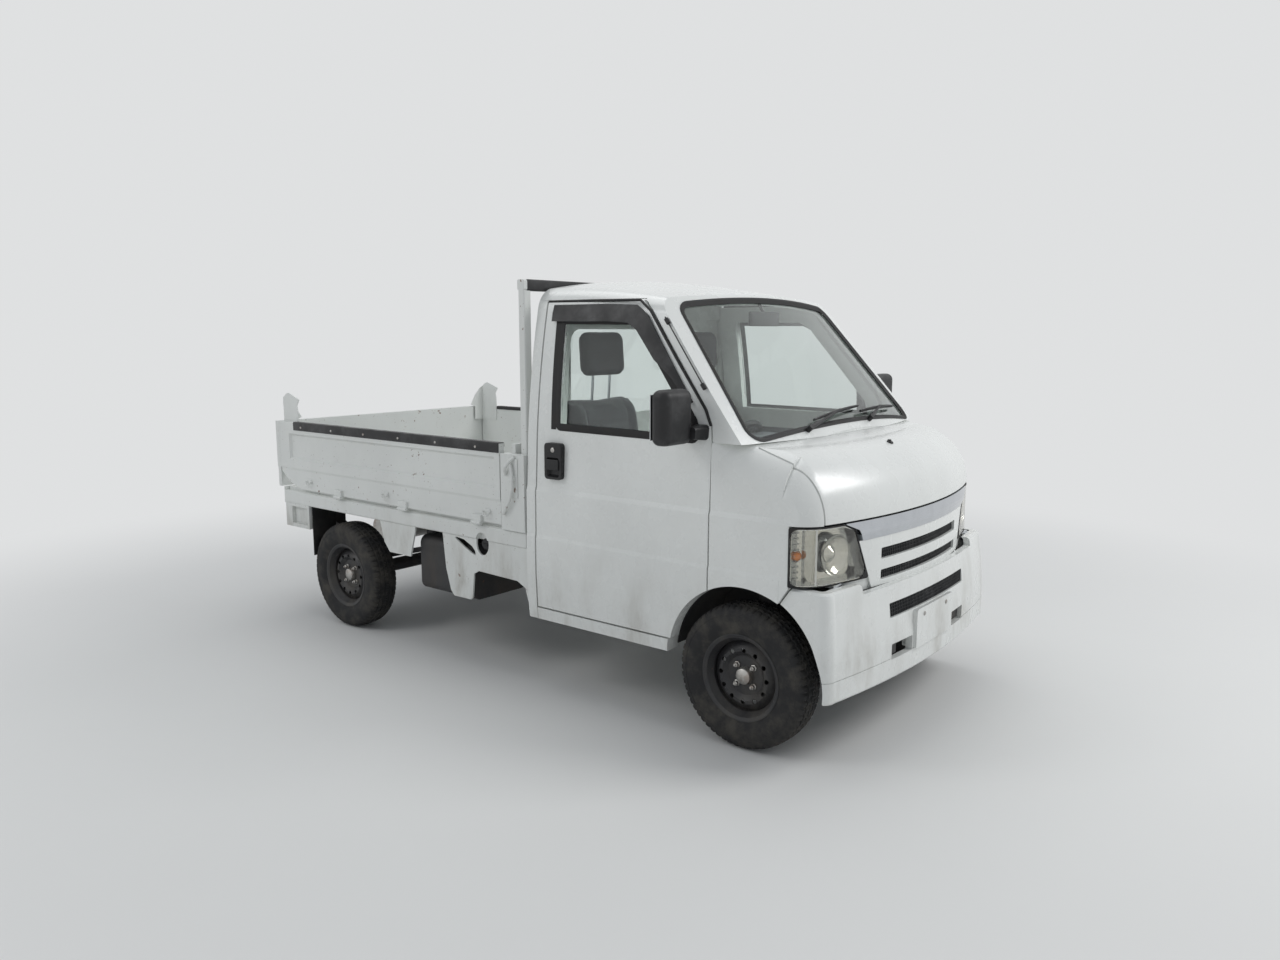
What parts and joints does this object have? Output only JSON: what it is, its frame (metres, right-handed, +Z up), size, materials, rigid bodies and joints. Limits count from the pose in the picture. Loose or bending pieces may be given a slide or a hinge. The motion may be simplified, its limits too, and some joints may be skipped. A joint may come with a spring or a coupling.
{
  "type": "kei truck",
  "caption": "Small mid-engined pickup with a short nose, two-seat cab and a drop-side bed on a ladder frame; doors, hood, gates, steering and wheels move.",
  "frame": {"origin": "on the ground under the middle of the whole truck", "axes": "+Z up, the front faces -Y, the truck's left side is +X"},
  "size_m": [1.832, 3.395, 1.7383],
  "materials": {
    "body_paint": "gloss",
    "bed_paint": "satin",
    "frame_paint": "satin",
    "wheel_paint": "satin",
    "black_plastic": "satin",
    "interior_plastic": "matte",
    "window_glass": "clear",
    "lamp_lens": "clear",
    "tail_lens": "gloss",
    "chrome_trim": "polished",
    "tyre_rubber": "matte",
    "seat_cloth": "woven",
    "bare_steel": "dull",
    "cast_metal": "as cast"
  },
  "bodies": {
    "root": {"cab_back": "body_paint", "roof": "body_paint", "windscreen_frame": "body_paint", "front_fenders": "body_paint", "front_bumper": "body_paint", "grille": "body_paint", "grille_trim": "chrome_trim", "headlamps": "lamp_lens", "lamp_housings": "chrome_trim", "cab_glass": "window_glass", "front_bulkhead": "body_paint", "cab_floor": "body_paint", "dashboard": "interior_plastic", "seats": "seat_cloth", "wipers": "black_plastic", "frame_rails": "frame_paint", "cross_members": "frame_paint", "bed_deck": "bed_paint", "guard_frame": "bed_paint", "side_panels": "bed_paint", "tail_lamps": "tail_lens", "engine_and_radiator": "cast_metal", "fuel_tank": "frame_paint", "exhaust": "bare_steel", "suspension": "frame_paint"},
    "door_right": {"door_right": "body_paint", "door_glass_right": "window_glass", "door_fittings_right": "black_plastic"},
    "door_left": {"door_left": "body_paint", "door_glass_left": "window_glass", "door_fittings_left": "black_plastic"},
    "hood": {"hood": "body_paint"},
    "gate_right": {"gate_right": "bed_paint"},
    "gate_left": {"gate_left": "bed_paint"},
    "tailgate": {"tailgate": "bed_paint"},
    "knuckle_right": {"knuckle_right": "frame_paint"},
    "knuckle_left": {"knuckle_left": "frame_paint"},
    "steering_wheel": {"steering_wheel": "black_plastic"},
    "wheel_front_right": {"tyre_front_right": "tyre_rubber", "rim_front_right": "wheel_paint"},
    "wheel_front_left": {"tyre_front_left": "tyre_rubber", "rim_front_left": "wheel_paint"},
    "wheel_rear_right": {"tyre_rear_right": "tyre_rubber", "rim_rear_right": "wheel_paint"},
    "wheel_rear_left": {"tyre_rear_left": "tyre_rubber", "rim_rear_left": "wheel_paint"}
  },
  "joints": [
    {"name": "door_right_hinge", "type": "hinge", "parent": "root", "child": "door_right", "pos_m": [-0.74, -1.133, 0.9], "axis": [0, 0, 1], "range_deg": [0, 65]},
    {"name": "door_left_hinge", "type": "hinge", "parent": "root", "child": "door_left", "pos_m": [0.74, -1.133, 0.9], "axis": [0, 0, -1], "range_deg": [0, 65]},
    {"name": "hood_hinge", "type": "hinge", "parent": "root", "child": "hood", "pos_m": [0, -1.272, 1.155], "axis": [-1, 0, 0], "range_deg": [0, 50]},
    {"name": "gate_right_hinge", "type": "hinge", "parent": "root", "child": "gate_right", "pos_m": [-0.745, 0.8, 0.685], "axis": [0, -1, 0], "range_deg": [0, 170]},
    {"name": "gate_left_hinge", "type": "hinge", "parent": "root", "child": "gate_left", "pos_m": [0.745, 0.8, 0.685], "axis": [0, 1, 0], "range_deg": [0, 170]},
    {"name": "tailgate_hinge", "type": "hinge", "parent": "root", "child": "tailgate", "pos_m": [0, 1.705, 0.685], "axis": [-1, 0, 0], "range_deg": [0, 170]},
    {"name": "steering_wheel_turn", "type": "hinge", "parent": "root", "child": "steering_wheel", "pos_m": [-0.36, -0.92, 1.05], "axis": [0, 0.6, 0.8], "range_deg": [-560, 560]},
    {"name": "steer_right", "type": "hinge", "parent": "root", "child": "knuckle_right", "pos_m": [-0.6, -1.259, 0.19], "axis": [0.1772, 0, 0.9842], "range_deg": [-35, 35]},
    {"name": "steer_left", "type": "hinge", "parent": "root", "child": "knuckle_left", "pos_m": [0.6, -1.259, 0.19], "axis": [-0.1772, 0, 0.9842], "range_deg": [-35, 35]},
    {"name": "spin_front_right", "type": "hinge", "parent": "knuckle_right", "child": "wheel_front_right", "pos_m": [-0.645, -1.259, 0.271], "axis": [1, 0, 0], "continuous": true},
    {"name": "spin_front_left", "type": "hinge", "parent": "knuckle_left", "child": "wheel_front_left", "pos_m": [0.645, -1.259, 0.271], "axis": [1, 0, 0], "continuous": true},
    {"name": "spin_rear_right", "type": "hinge", "parent": "root", "child": "wheel_rear_right", "pos_m": [-0.645, 1.161, 0.271], "axis": [1, 0, 0], "continuous": true},
    {"name": "spin_rear_left", "type": "hinge", "parent": "root", "child": "wheel_rear_left", "pos_m": [0.645, 1.161, 0.271], "axis": [1, 0, 0], "continuous": true}
  ],
  "couplings": [
    {"joint": "steer_right", "follows": "steering_wheel_turn", "ratio": 0.0625},
    {"joint": "steer_left", "follows": "steering_wheel_turn", "ratio": 0.0625}
  ]
}
